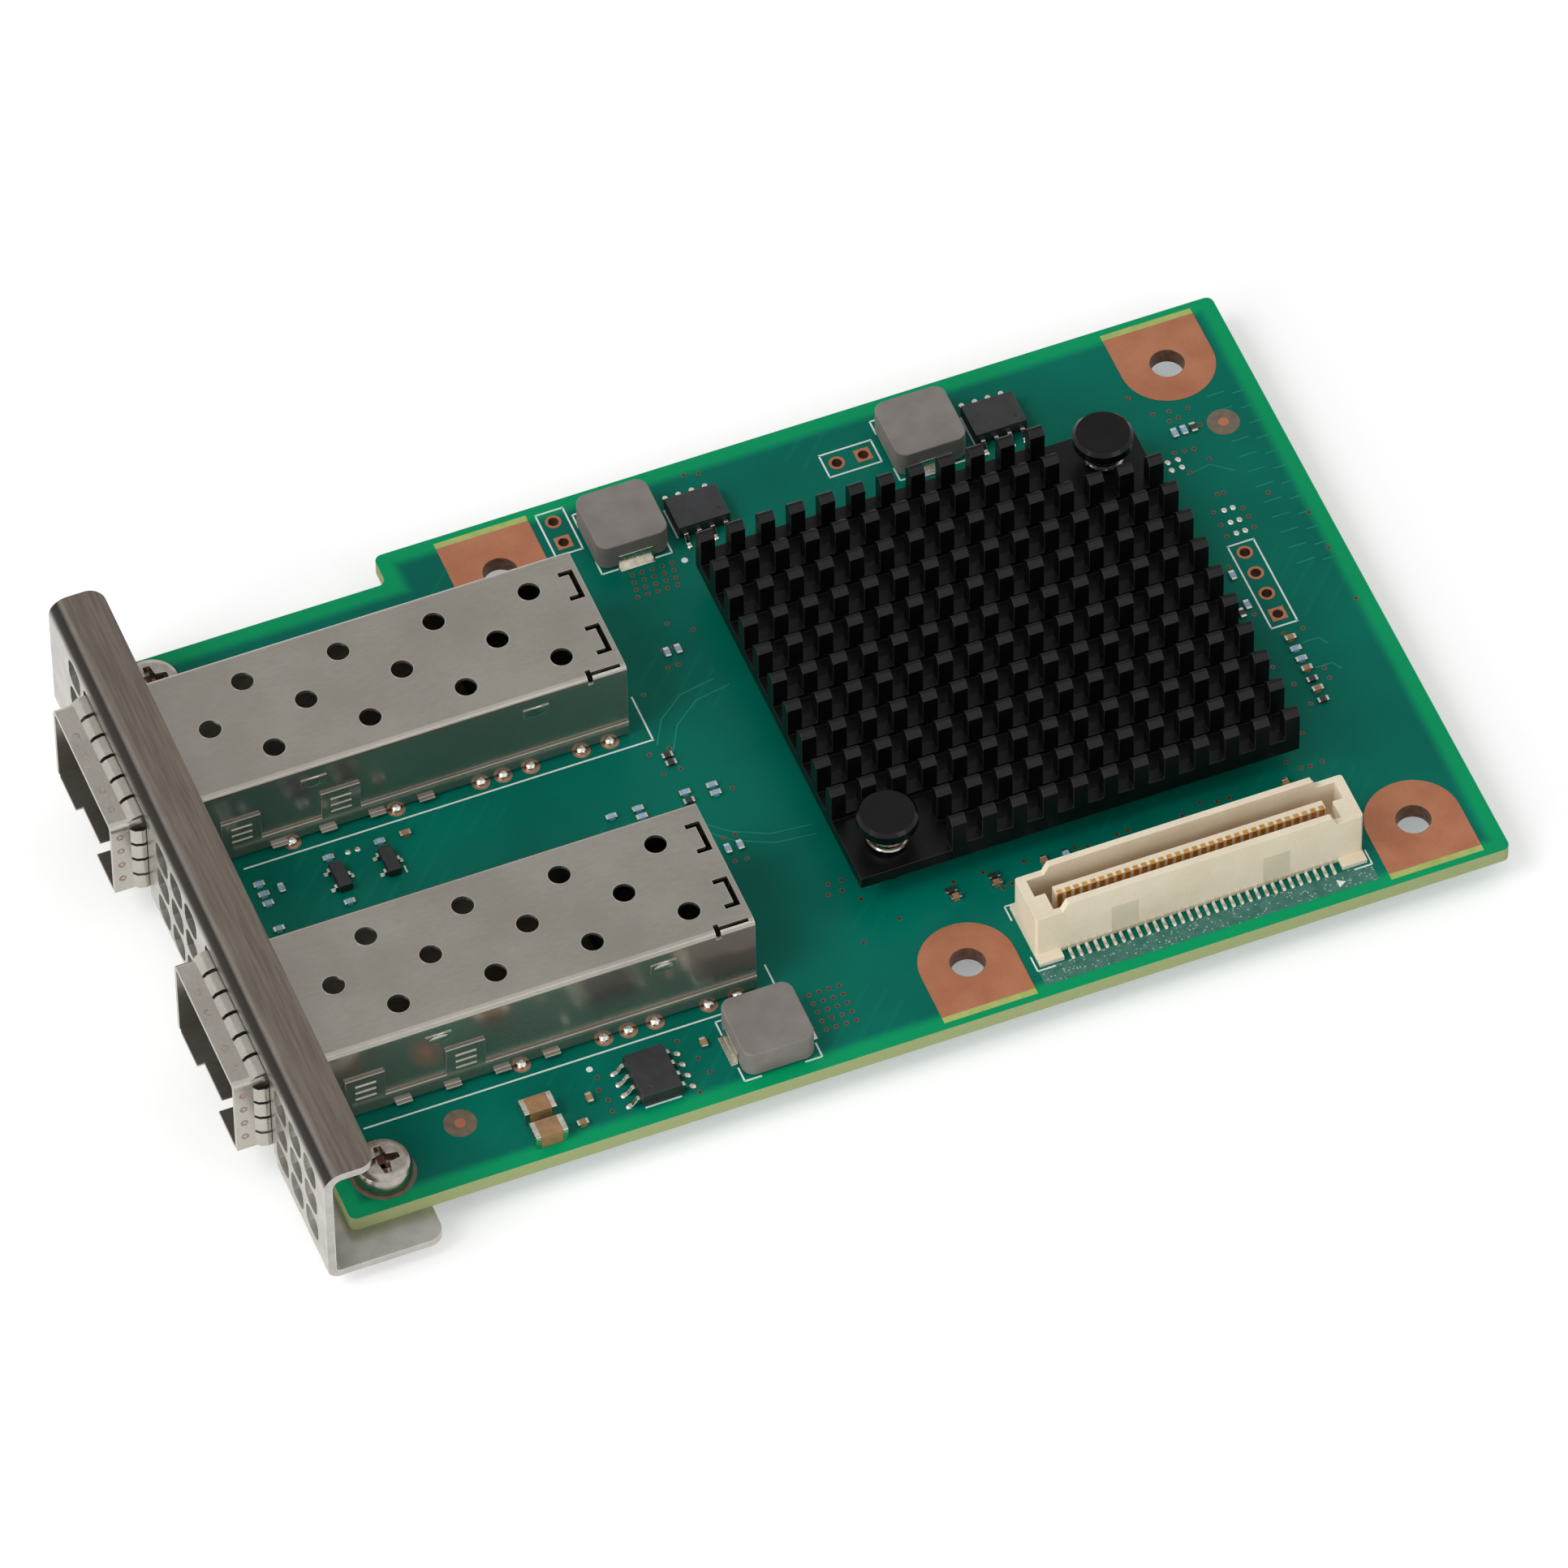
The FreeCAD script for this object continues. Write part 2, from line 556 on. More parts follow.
# ---------------------------------------------------------------- port cages
# Every piece of a port is drawn about the port's own centre line, y = 0.
def cage_shell(port):
    """Folded cover: top, two walls and the rear, with vents, slots and pressed dimples."""
    body = new_body(f"{port}_cage_shell")
    outer = "cage_width / 2"
    inner = "(cage_width / 2 - cage_sheet)"
    ceiling = f"({CAGE_TOP} - cage_sheet)"
    section = sketch(body, "YZ", SNOUT_FRONT)
    outline(section, [(f"-{outer}", FLOOR_TOP), (f"-{inner}", FLOOR_TOP),
                      (f"-{inner}", ceiling, "(cage_corner - cage_sheet)"),
                      (inner, ceiling, "(cage_corner - cage_sheet)"), (inner, FLOOR_TOP),
                      (outer, FLOOR_TOP), (outer, CAGE_TOP, "cage_corner"),
                      (f"-{outer}", CAGE_TOP, "cage_corner")])
    pad(section, f"cage_rear - {SNOUT_FRONT}")
    rear = sketch(body, "YZ", "cage_rear - cage_sheet")
    rectangle(rear, f"-{inner}", inner, FLOOR_TOP, ceiling)
    pad(rear, "cage_sheet")
    vents = sketch(body, "XY", CAGE_TOP)
    for side in ("-", ""):
        circle(vents, "cage_vent_x", f"{side}cage_vent_y", "cage_vent")
    circle(vents, "cage_vent_x - cage_vent_pitch / 2", "0", "cage_vent")
    repeat(cut(vents, "2 * cage_sheet"), "X", "cage_vent_pitch", "cage_vents")
    # two C-shaped slots that free the rear flap's hooks, and the slit along the near bend
    rear_edge = "(cage_rear - 1.5 * cage_sheet)"
    slots = sketch(body, "XY", CAGE_TOP)
    for side in (-1, 1):
        first = f"({side} * rear_slot_inner)"
        last = f"({side} * rear_slot_outer)"
        step = f"({side} * rear_slot)"
        leg = f"({rear_edge} - rear_slot - rear_slot_leg)"
        outline(slots, [(leg, first), (rear_edge, first), (rear_edge, last), (leg, last),
                        (leg, f"{last} - {step}"),
                        (f"({rear_edge} - rear_slot)", f"{last} - {step}"),
                        (f"({rear_edge} - rear_slot)", f"{first} + {step}"),
                        (leg, f"{first} + {step}")][::side])
    cut(slots, "2 * cage_sheet")
    slit = sketch(body, "XY", CAGE_TOP)
    slit_front = f"({rear_edge} - bend_slit_length)"
    outline(slit, [(f"{slit_front} - rear_slot", f"-{outer} - bend_slit"),
                   (slit_front, f"-{outer} - bend_slit"), (slit_front, f"-{inner}"),
                   (rear_edge, f"-{inner}"), (rear_edge, f"-{inner} + bend_slit"),
                   (slit_front, f"-{inner} + bend_slit"),
                   (slit_front, f"-{inner} + 2 * bend_slit"),
                   (f"{slit_front} - rear_slot", f"-{inner} + 2 * bend_slit")])
    cut(slit, "3 * cage_sheet")
    for start in (f"-{outer} - dimple_raise", outer):
        dimple = sketch(body, "XZ", start)
        rectangle(dimple, "dimple_x - dimple_length / 2", "dimple_x + dimple_length / 2",
                  "dimple_z - dimple_height / 2", "dimple_z + dimple_height / 2")
        repeat(pad(dimple, "dimple_raise"), "X", "dimple_pitch", 2)
    node(body, f"{port}_cage_shell", y=PORT_Y[port])


def cage_base(port):
    """Floor tray with skirts, latch tabs, board toes and the module latch tongue."""
    body = new_body(f"{port}_cage_base")
    wall = "cage_width / 2"
    skirt = "(cage_width / 2 + base_sheet)"
    snout_floor = sketch(body, "XY", "cage_lift")
    outline(snout_floor, [(SNOUT_FRONT, f"-{wall}", "cage_corner"), ("skirt_front", f"-{wall}"),
                          ("skirt_front", f"-{skirt}"), ("cage_rear", f"-{skirt}"),
                          ("cage_rear", skirt), ("skirt_front", skirt), ("skirt_front", wall),
                          (SNOUT_FRONT, wall, "cage_corner")])
    pad(snout_floor, "base_sheet")
    window = sketch(body, "XY", FLOOR_TOP)
    rectangle(window, "port_front - port_floor_gap", "port_front + port_depth + port_floor_gap",
              "-port_width / 2 - port_floor_gap", "port_width / 2 + port_floor_gap")
    cut(window)
    mouth = sketch(body, "XY", FLOOR_TOP)
    half_mouth = "(tongue_width / 2 + tongue_slot)"
    rectangle(mouth, f"{SNOUT_FRONT} - base_sheet", "-tongue_root",
              f"-{half_mouth}", half_mouth)
    cut(mouth)
    # the tongue rises from the floor so that a module's latch can press it down
    tongue = sketch(body, "XZ", "-tongue_width / 2")
    raised = "(cage_lift + tongue_raise)"
    outline(tongue, [("-tongue_root", "cage_lift"), ("-tongue_root", FLOOR_TOP),
                     ("-tongue_root - tongue_slope", f"{raised} + base_sheet"),
                     (f"{SNOUT_FRONT} + tongue_inset", f"{raised} + base_sheet"),
                     (f"{SNOUT_FRONT} + tongue_inset", raised),
                     ("-tongue_root - tongue_slope", raised)])
    pad(tongue, "tongue_width")
    for inside, outside in ((f"-{skirt}", f"-{skirt} - toe_reach"), (wall, skirt)):
        face = sketch(body, "XZ", inside)
        rectangle(face, "skirt_front", "cage_rear", FLOOR_TOP, f"{FLOOR_TOP} + skirt_height")
        pad(face, "base_sheet")
        tab = sketch(body, "XZ", inside)
        rectangle(tab, "tab_x", "tab_x + tab_width", FLOOR_TOP, f"{FLOOR_TOP} + tab_height")
        repeat(pad(tab, "base_sheet"), "X", "tab_pitch", 2)
        toe = sketch(body, "XY", "cage_lift")
        rectangle(toe, "toe_x", "toe_x + toe_length", outside, f"{outside} + toe_reach")
        repeat(pad(toe, "base_sheet"), "X", "toe_pitch", "toe_count")
    # pressed rungs stiffen each latch tab
    first = "(tab_x + tab_width / 2)"
    for middle in (first, f"({first} + tab_pitch)"):
        for start in (f"-{skirt} - rung_raise", skirt):
            rung = sketch(body, "XZ", start)
            rectangle(rung, f"{middle} - rung_length / 2", f"{middle} + rung_length / 2",
                      "rung_z", "rung_z + rung_height")
            repeat(pad(rung, "rung_raise"), "Z", "rung_pitch", "rung_count")
    node(body, f"{port}_cage_base", y=PORT_Y[port])


def arch(middle, surface, half_span, bow, side):
    """Points over half a bowed strip of sheet and down the other half, in four flats."""
    lean = f"asin({half_span} / {bow})"
    points = []
    for step in (-1, -0.5, 0, 0.5, 1):
        rise = f"({bow} * cos({step} * {lean}) - {bow} * cos({lean}))"
        points.append((f"{middle} + {bow} * sin({step} * {lean})",
                       f"{surface} + {side} * {rise}"))
    return points


def finger_arch(drawing, surface, side):
    """Profile of one sprung finger: an arch of sheet that stands on the cage's surface."""
    middle = f"({SNOUT_FRONT} + collar_band + finger_span / 2)"
    outside = arch(middle, surface, "(finger_span / 2)", "finger_bow", side)
    inside = arch(middle, surface, "(finger_span / 2 - collar_sheet)",
                  "(finger_bow - collar_sheet)", side)
    return outline(drawing, outside + inside[::-1])


def spring_collar(port):
    """Band round the snout with arched fingers that touch the faceplate's window."""
    body = new_body(f"{port}_spring_collar")
    inner = "(cage_width / 2 + collar_gap)"
    outer = "(cage_width / 2 + collar_gap + collar_sheet)"
    under = f"({CAGE_TOP} + collar_gap)"
    over = f"({CAGE_TOP} + collar_gap + collar_sheet)"
    round_inside = "(cage_corner + collar_gap)"
    round_outside = "(cage_corner + collar_gap + collar_sheet)"
    band = sketch(body, "YZ", SNOUT_FRONT)
    outline(band, [(f"-{outer}", FLOOR_TOP), (f"-{inner}", FLOOR_TOP),
                   (f"-{inner}", under, round_inside), (inner, under, round_inside),
                   (inner, FLOOR_TOP), (outer, FLOOR_TOP), (outer, over, round_outside),
                   (f"-{outer}", over, round_outside)])
    pad(band, "collar_band + collar_sheet")
    spacing = f"(2 * {outer} / top_fingers)"
    top = sketch(body, "XZ", f"-{outer} + ({spacing} - top_finger_width) / 2")
    finger_arch(top, under, 1)
    repeat(pad(top, "top_finger_width"), "Y", spacing, "top_fingers")
    for side in (-1, 1):
        flank = sketch(body, "XY", f"{FLOOR_TOP} + side_finger_low - side_finger_width / 2")
        finger_arch(flank, f"{side} * {inner}", side)
        repeat(pad(flank, "side_finger_width"), "Z", "side_finger_pitch", "side_fingers")
    node(body, f"{port}_spring_collar", y=PORT_Y[port])


def port_receptacle(port):
    """Moulded receptacle at the rear of a cage, with the slot for a module's card edge."""
    body = new_body(f"{port}_port_receptacle")
    block = sketch(body, "XY")
    rectangle(block, "port_front", "port_front + port_depth", "-port_width / 2", "port_width / 2")
    pad(block, "port_height")
    slot = sketch(body, "YZ", "port_front + port_slot_depth")
    rectangle(slot, "-port_slot_width / 2", "port_slot_width / 2", "port_slot_low",
              "port_slot_low + port_slot_height")
    cut(slot, "2 * port_slot_depth")
    node(body, f"{port}_port_receptacle", y=PORT_Y[port])
    contacts = new_body(f"{port}_port_contacts")
    first = "(-port_pitch * (port_contacts - 1) / 2)"
    start = "port_front + port_slot_depth - port_contact_length"
    upper = "(port_slot_low + port_slot_height - port_contact_thick)"
    for low in ("port_slot_low", upper):
        strip = sketch(contacts, "YZ", start)
        rectangle(strip, f"{first} - port_contact / 2", f"{first} + port_contact / 2",
                  low, f"{low} + port_contact_thick")
        repeat(pad(strip, "port_contact_length"), "Y", "port_pitch", "port_contacts")
    node(contacts, f"{port}_port_contacts", y=PORT_Y[port])


def cage_solder():
    """Low solder mounds at the cage pins, just under the skirts' near edges, on the grid."""
    edge = "cage_width / 2 - base_sheet"
    pins = {"near": (394, 548, 594, 644, 744, 798), "far": (198, 554, 596, 648)}
    mounds = []
    for port, places in pins.items():
        for number, x in enumerate(places, start=1):
            mound = doc.addObject("Part::Prism", f"mound_{port}_{number}")
            mound.Polygon = 8
            bind(mound, "Circumradius", "mound")
            bind(mound, "Height", "mound_height")
            mounds.append(place(mound, f"{x} * grid", f"{PORT_Y[port]} - {edge}"))
    group(mounds, "cage_solder")


# ---------------------------------------------------------------- heat sink and its chip
# Everything here is drawn about the heat sink's centre.
def heat_sink():
    """Cross-cut heat sink: fins with eased tops, sawn into posts above a low web."""
    body = new_body("heat_sink")
    left = "-sink_length / 2"
    near = "-sink_width / 2"
    top = f"({SINK_BOTTOM} + sink_height)"
    base = sketch(body, "XY", SINK_BOTTOM)
    rectangle(base, left, "sink_length / 2", near, "sink_width / 2")
    pad(base, "sink_base")
    fin = sketch(body, "YZ", left)
    # each top edge is eased in one flat
    far = f"({near} + fin_thick)"
    outline(fin, [(near, SINK_DECK), (far, SINK_DECK), (far, f"{top} - fin_round"),
                  (f"{far} - fin_round", top), (f"{near} + fin_round", top),
                  (near, f"{top} - fin_round")])
    row_pitch = "((sink_width - fin_thick) / (fin_rows - 1))"
    repeat(pad(fin, "sink_length"), "Y", row_pitch, "fin_rows")
    column_pitch = "((sink_length - post_length) / (post_columns - 1))"
    saw = sketch(body, "XZ")
    rectangle(saw, f"{left} + post_length", f"{left} + {column_pitch}",
              f"{SINK_DECK} + sink_web", f"{top} + sink_web")
    repeat(cut(saw), "X", column_pitch, "post_columns - 1")
    # two opposite corners have no posts, which leaves room for the push pins
    clear_x = f"(sink_length / 2 - clear_columns * {column_pitch})"
    clear_y = f"(sink_width / 2 - clear_rows * {row_pitch})"
    corners = sketch(body, "XY", top)
    rectangle(corners, f"{left} - sink_web", f"-{clear_x}", f"{near} - sink_web", f"-{clear_y}")
    rectangle(corners, clear_x, "sink_length / 2 + sink_web", clear_y,
              "sink_width / 2 + sink_web")
    cut(corners, "sink_height - sink_base")
    holes = sketch(body, "XY", SINK_DECK)
    for side in ("-", ""):
        circle(holes, f"{side}{PIN_X}", f"{side}{PIN_Y}",
               "pin_shaft + 2 * pin_clearance")
    cut(holes)
    node(body, "heat_sink", "sink_x", "sink_y")


def controller_package():
    """The controller under the heat sink: substrate and lid."""
    body = new_body("controller_package")
    rectangle_centred(sketch(body, "XY"), "chip_side", "chip_substrate")
    rectangle_centred(sketch(body, "XY", "chip_substrate"), "chip_lid_side", "chip_lid")
    node(body, "controller_package", "sink_x", "sink_y")
    interface = new_body("thermal_pad")
    rectangle_centred(sketch(interface, "XY", "chip_substrate + chip_lid"), "pad_side",
                      "pad_thick")
    node(interface, "thermal_pad", "sink_x", "sink_y")


def rectangle_centred(drawing, side, height):
    """A square slab about the body's axis."""
    rectangle(drawing, f"-{side} / 2", f"{side} / 2", f"-{side} / 2", f"{side} / 2")
    return pad(drawing, height)


def push_pin(name, side):
    """Nylon push pin: bevelled cap, shaft and a split barb that grips under the board."""
    body = new_body(name)
    shaft = "pin_shaft / 2"
    shoulder = "(-board_thickness - shank_clearance)"
    cap_top = "(pin_cap_low + pin_cap_height)"
    half = sketch(body, "XZ")
    outline(half, [("0", f"{shoulder} - pin_barb_length"),
                   ("pin_tip / 2", f"{shoulder} - pin_barb_length"),
                   ("pin_barb / 2", f"{shoulder} - 2 * pin_clearance"),
                   ("pin_barb / 2", shoulder), (shaft, shoulder), (shaft, "pin_cap_low"),
                   ("pin_cap / 2", "pin_cap_low"), ("pin_cap / 2", f"{cap_top} - pin_cap_bevel"),
                   ("pin_cap / 2 - pin_cap_bevel", cap_top), ("0", cap_top)])
    spin(half)
    split = sketch(body, "YZ")
    rectangle(split, "-pin_split / 2", "pin_split / 2",
              f"{shoulder} - pin_barb_length - pin_clearance", "-pin_clearance")
    cut(split)
    return place(body, f"{side}{PIN_X}", f"{side}{PIN_Y}")


def pin_spring(name, side):
    """Coil spring between the heat sink's base and a push pin's cap."""
    body = new_body(name)
    wire = sketch(body, "XZ")
    low = f"({SINK_DECK} + spring_wire / 2 + spring_clearance)"
    middle = "((pin_shaft + spring_wire) / 2 + spring_clearance)"
    outline(wire, [(f"{middle} + spring_wire / 2 * cos({angle})",
                    f"{low} + spring_wire / 2 * sin({angle})") for angle in range(0, 360, 90)])
    coil = feature(wire, "PartDesign::AdditiveHelix")
    coil.ReferenceAxis = (origin_part(body, "Z_Axis"), [""])
    coil.Mode = "height-turns-angle"
    bind(coil, "Height", f"pin_cap_low - {low} - spring_wire / 2 - spring_clearance")
    bind(coil, "Turns", "spring_turns")
    return place(body, f"{side}{PIN_X}", f"{side}{PIN_Y}")


def push_pins():
    group([push_pin("pin_near", "-"), push_pin("pin_far", "")], "push_pins",
          "sink_x", "sink_y")
    group([pin_spring("spring_near", "-"), pin_spring("spring_far", "")], "pin_springs",
          "sink_x", "sink_y")


# ---------------------------------------------------------------- mezzanine connector
# Drawn about its centre, in line with the middle of the two near mounting holes.
def mezzanine_connector():
    """Board-to-board connector: open housing, middle tongue and two rows of contacts."""
    body = new_body("mezzanine_housing")
    end = "mezz_length / 2"
    side = "mezz_width / 2"
    inside = "(mezz_width / 2 - mezz_wall)"
    block = sketch(body, "XY")
    rectangle(block, f"-{end}", end, f"-{side}", side, "mezz_wall / 2")
    pad(block, "mezz_height")
    # the cavity is shorter on its near half, which keys the mating part
    cavity = sketch(body, "XY", "mezz_height")
    near_reach = f"({end} - mezz_near_end)"
    far_reach = f"({end} - mezz_far_end)"
    outline(cavity, [(f"-{near_reach}", f"-{inside}"), (near_reach, f"-{inside}"),
                     (near_reach, "0"), (far_reach, "0"), (far_reach, inside),
                     (f"-{far_reach}", inside), (f"-{far_reach}", "0"), (f"-{near_reach}", "0")])
    cut(cavity, "mezz_height - mezz_floor")
    tongue = sketch(body, "XY", "mezz_floor")
    rectangle(tongue, "-mezz_tongue_length / 2", "mezz_tongue_length / 2",
              "-mezz_tongue / 2", "mezz_tongue / 2")
    pad(tongue, "mezz_height - mezz_floor")
    for start in (f"-{side}", inside):
        wall = sketch(body, "XZ", start)
        reach = "mezz_wall_length / 2"
        outline(wall, [(f"-{reach}", "mezz_height"), (reach, "mezz_height"),
                       (f"{reach} - mezz_wall_ramp", "mezz_height + mezz_wall_rise"),
                       (f"-{reach} + mezz_wall_ramp", "mezz_height + mezz_wall_rise")])
        pad(wall, "mezz_wall")
    feet = sketch(body, "XY")
    foot_start = f"({end} - mezz_foot_length)"
    for left, right in ((f"-{end}", f"-{foot_start}"), (foot_start, end)):
        rectangle(feet, left, right, f"-{side} - mezz_foot_reach", f"{side} + mezz_foot_reach")
    pad(feet, "mezz_foot_height")
    node(body, "mezzanine_housing", DATUM_X, "mezz_y")
    contacts = new_body("mezzanine_contacts")
    first = "(-mezz_pitch * (mezz_contacts - 1) / 2)"
    for low, start in (("-mezz_tongue / 2 - mezz_contact_thick", "mezz_floor"),
                       ("mezz_tongue / 2", "mezz_floor")):
        strip = sketch(contacts, "XY", start)
        rectangle(strip, f"{first} - mezz_contact_width / 2", f"{first} + mezz_contact_width / 2",
                  low, f"{low} + mezz_contact_thick")
        repeat(pad(strip, "mezz_contact_height"), "X", "mezz_pitch", "mezz_contacts")
    for low in (f"-{side} - mezz_tail_reach", side):
        tail = sketch(contacts, "XY")
        rectangle(tail, f"{first} - mezz_contact_width / 2", f"{first} + mezz_contact_width / 2",
                  low, f"{low} + mezz_tail_reach")
        repeat(pad(tail, "mezz_tail_thick"), "X", "mezz_pitch", "mezz_contacts")
    node(contacts, "mezzanine_contacts", DATUM_X, "mezz_y")


# ---------------------------------------------------------------- parts on the board
def inductor(name, x, y, turn):
    """Moulded power inductor with its two strap terminals, at the near and far sides."""
    body = new_body(name)
    block = sketch(body, "XY", "strap_thick")
    rectangle(block, "-coil_length / 2", "coil_length / 2", "-coil_width / 2", "coil_width / 2",
              "coil_corner")
    pad(block, "coil_height - strap_thick")
    straps = new_body(f"{name}_straps")
    for side in (-1, 1):
        strap = sketch(straps, "YZ", "-strap_width / 2")
        face = f"({side} * coil_width / 2)"
        skin = f"({side} * (coil_width / 2 + strap_thick))"
        toe = f"({side} * (coil_width / 2 + strap_foot))"
        heel = f"({side} * (coil_width / 2 - strap_foot))"
        outline(strap, [(heel, "0"), (toe, "0"), (toe, "strap_thick"), (skin, "strap_thick"),
                        (skin, "strap_height"), (face, "strap_height"), (face, "strap_thick"),
                        (heel, "strap_thick")])
        pad(strap, "strap_width")
    return place(body, x, y, turn=turn), place(straps, x, y, turn=turn)


def inductors():
    far_y = "(board_width - far_coil_inset)"
    coils = [inductor(f"{name}_coil", f"{name}_coil_x", y, turn)
             for name, y, turn in (("left", far_y, 0), ("right", far_y, 0),
                                   ("near", "near_coil_y", 90))]
    group([body for body, straps in coils], "power_inductors")
    group([straps for body, straps in coils], "inductor_straps")


def moulded_package(name, kind, x, y, turn):
    """Tapered epoxy body, widest where its leads leave it."""
    body = new_body(name)
    middle = f"(package_lift + ({kind}_height - package_lift) / 2)"
    half = f"{kind}_width / 2"
    section = sketch(body, "XZ", f"-{kind}_length / 2")
    outline(section, [(f"-{half} + mold_taper", "package_lift"),
                      (f"{half} - mold_taper", "package_lift"), (half, middle),
                      (f"{half} - mold_taper", f"{kind}_height"),
                      (f"-{half} + mold_taper", f"{kind}_height"), (f"-{half}", middle)])
    pad(section, f"{kind}_length")
    return place(body, x, y, turn=turn)


def gull_leads(name, kind, left, right, x, y, turn):
    """Gull-wing leads down both sides of a package; left and right are how many."""
    body = new_body(name)
    middle = f"(package_lift + ({kind}_height - package_lift) / 2)"
    for side, count in ((-1, left), (1, right)):
        first = f"(-{kind}_pitch * {(count - 1) / 2})"
        lead = sketch(body, "XZ", f"{first} - {kind}_lead_width / 2")
        root = f"({side} * {kind}_width / 2)"
        knee = f"({side} * ({kind}_width / 2 + lead_thick))"
        heel = f"({side} * ({kind}_span / 2 - lead_foot))"
        toe = f"({side} * {kind}_span / 2)"
        outline(lead, [(root, f"{middle} - lead_thick / 2"), (root, f"{middle} + lead_thick / 2"),
                       (f"{knee} + {side} * lead_thick / 2", f"{middle} + lead_thick / 2"),
                       (f"{heel} + {side} * lead_thick", "lead_thick"), (toe, "lead_thick"),
                       (toe, "0"), (heel, "0"),
                       (f"{knee} - {side} * lead_thick / 2", f"{middle} - lead_thick / 2")])
        made = pad(lead, f"{kind}_lead_width")
        if count > 1:
            repeat(made, "Y", f"{kind}_pitch", count)
    return place(body, x, y, turn=turn)


def regulators():
    bodies = []
    leads = []
    far_y = "(board_width - far_reg_inset)"
    for name, y, turn in (("left", far_y, 90), ("right", far_y, 90), ("near", "near_reg_y", 0)):
        spot = (f"{name}_reg_x", y, turn)
        body = moulded_package(f"{name}_regulator", "reg", *spot)
        mark = sketch(body, "XY", "reg_height")
        circle(mark, "-reg_width / 2 + 1.5 * pin_mark", "-reg_length / 2 + 1.2 * pin_mark",
               "pin_mark")
        cut(mark, "pin_mark_depth")
        bodies.append(body)
        leads.append(gull_leads(f"{name}_regulator_leads", "reg", 4, 4, *spot))
    group(bodies, "regulators")
    group(leads, "regulator_leads")


def transistors():
    bodies = []
    leads = []
    for name in ("left", "right"):
        spot = (f"{name}_fet_x", "fet_y", 0)
        bodies.append(moulded_package(f"{name}_transistor", "fet", *spot))
        leads.append(gull_leads(f"{name}_transistor_leads", "fet", 2, 1, *spot))
    group(bodies, "transistors")
    group(leads, "transistor_leads")


# Places of the small chips in grid steps from the board's corner; a chip lies along x or y.
RESISTORS_ALONG_X = [(110, 750), (110, 726), (110, 704), (244, 760), (244, 654), (340, 760),
                     (108, 644), (738, 658), (788, 657), (788, 638), (878, 660), (928, 658),
                     (928, 639)]
RESISTORS_ALONG_Y = [(144, 728), (965, 968), (986, 968), (902, 514), (925, 514), (1993, 1096),
                     (2011, 1096), (1962, 752), (1960, 680), (1448, 278)]
JUMPERS_ALONG_X = [(880, 750), (880, 732), (878, 640), (1230, 280), (1312, 282)]
JUMPERS_ALONG_Y = [(2029, 1096), (1944, 666)]
CAPACITORS_ALONG_X = [(388, 759), (446, 44), (1310, 264), (1232, 262)]
CAPACITORS_ALONG_Y = [(1406, 278), (1866, 278), (704, 128), (476, 90)]
BULK_CAPACITORS = [(382, 95), (382, 41)]
# The column beside the heat sink, from its far end: capacitor, resistor or jumper.
COLUMN = "CRRCJCJ"


def chip(name, x, y, along_y, length, width, height, cap):
    """A ceramic chip: the bare middle and its two metal ends, as three blocks."""
    run, across = ("y", "x") if along_y else ("x", "y")
    centre = {"x": f"{x}", "y": f"{y}"}
    blocks = []
    for number, start, long in ((0, f"-{length} / 2 + {cap}", f"{length} - 2 * {cap}"),
                                (1, f"-{length} / 2", cap), (2, f"{length} / 2 - {cap}", cap)):
        low = {run: f"{centre[run]} + {start}", across: f"{centre[across]} - {width} / 2"}
        size = {run: long, across: width}
        blocks.append(box(f"{name}_{number}", low["x"], low["y"], "0", size["x"], size["y"],
                          height))
    return blocks


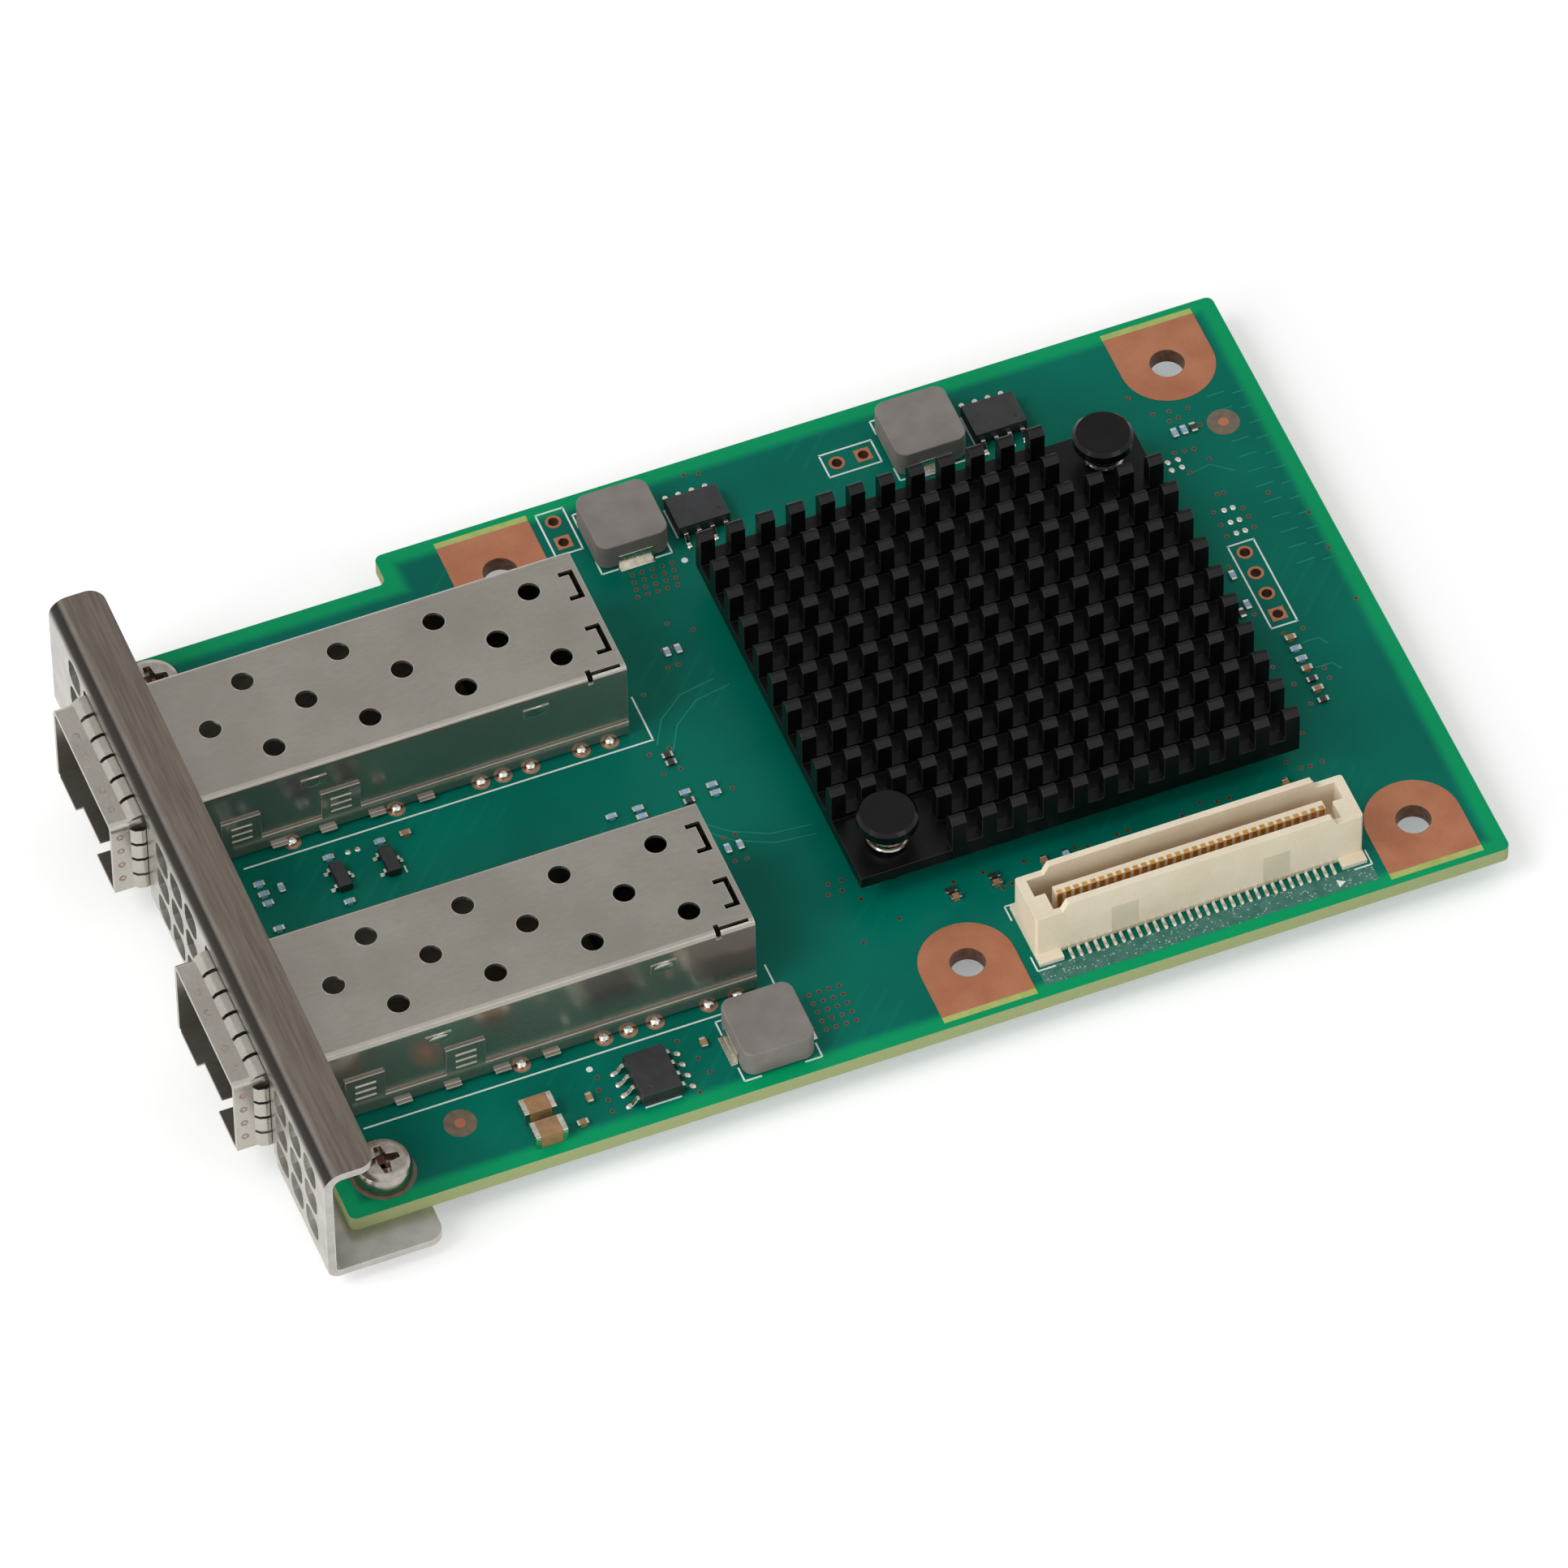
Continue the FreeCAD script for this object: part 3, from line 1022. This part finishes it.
def small_chips():
    lists = (("resistor", RESISTORS_ALONG_X, False), ("resistor", RESISTORS_ALONG_Y, True),
             ("jumper", JUMPERS_ALONG_X, False), ("jumper", JUMPERS_ALONG_Y, True),
             ("capacitor", CAPACITORS_ALONG_X, False), ("capacitor", CAPACITORS_ALONG_Y, True))
    rows = [(kind, f"({x} * grid)", f"({y} * grid)", along_y)
            for kind, spots, along_y in lists for x, y in spots]
    kinds = {"C": "capacitor", "R": "resistor", "J": "jumper"}
    rows += [(kinds[letter], "column_x", f"(column_y - {step} * column_pitch)", False)
             for step, letter in enumerate(COLUMN)]
    middles = {"resistor": [], "jumper": [], "capacitor": []}
    ends = []
    for number, (kind, x, y, along_y) in enumerate(rows, start=1):
        height = "cap_height" if kind == "capacitor" else "chip_height"
        middle, *caps = chip(f"{kind}_{number}", x, y, along_y, "chip_length", "chip_width",
                             height, "chip_cap")
        middles[kind].append(middle)
        ends += caps
    bulk = []
    for number, (x, y) in enumerate(BULK_CAPACITORS, start=1):
        middle, *caps = chip(f"bulk_{number}", f"({x} * grid)", f"({y} * grid)", False,
                             "bulk_length", "bulk_width", "bulk_height", "bulk_cap")
        bulk.append(middle)
        ends += caps
    group(middles["resistor"], "chip_resistors")
    group(middles["jumper"], "chip_jumpers")
    group(middles["capacitor"], "chip_capacitors")
    group(bulk, "bulk_capacitors")
    group(ends, "chip_ends")


# ---------------------------------------------------------------- build, check and write
circuit_board()
ground_landings()
faceplate_bracket()
bracket_screws()
for port_name in ("near", "far"):
    cage_shell(port_name)
    cage_base(port_name)
    spring_collar(port_name)
    port_receptacle(port_name)
cage_solder()
heat_sink()
controller_package()
push_pins()
mezzanine_connector()
inductors()
regulators()
transistors()
small_chips()
doc.recompute()

for thing in doc.Objects:
    if "Invalid" in thing.State or "Error" in thing.State:
        raise RuntimeError(f"{thing.Name} did not compute: {thing.State}")
    if thing.TypeId == "PartDesign::Pocket":
        removed = thing.BaseFeature.Shape.Volume - thing.Shape.Volume
        if removed <= 0:
            raise RuntimeError(f"{thing.Name} cuts nothing")
for thing in NODES:
    if thing.Shape.isNull() or not thing.Shape.isValid():
        raise RuntimeError(f"{thing.Label} has no valid shape")

os.makedirs("parts", exist_ok=True)
for thing in NODES:
    thing.Shape.exportStep(f"parts/{thing.Label}.step")
    extent = thing.Shape.BoundBox
    print(f"{thing.Label}: {len(thing.Shape.Solids)} solids, "
          f"{extent.XLength:.2f} x {extent.YLength:.2f} x {extent.ZLength:.2f} mm")
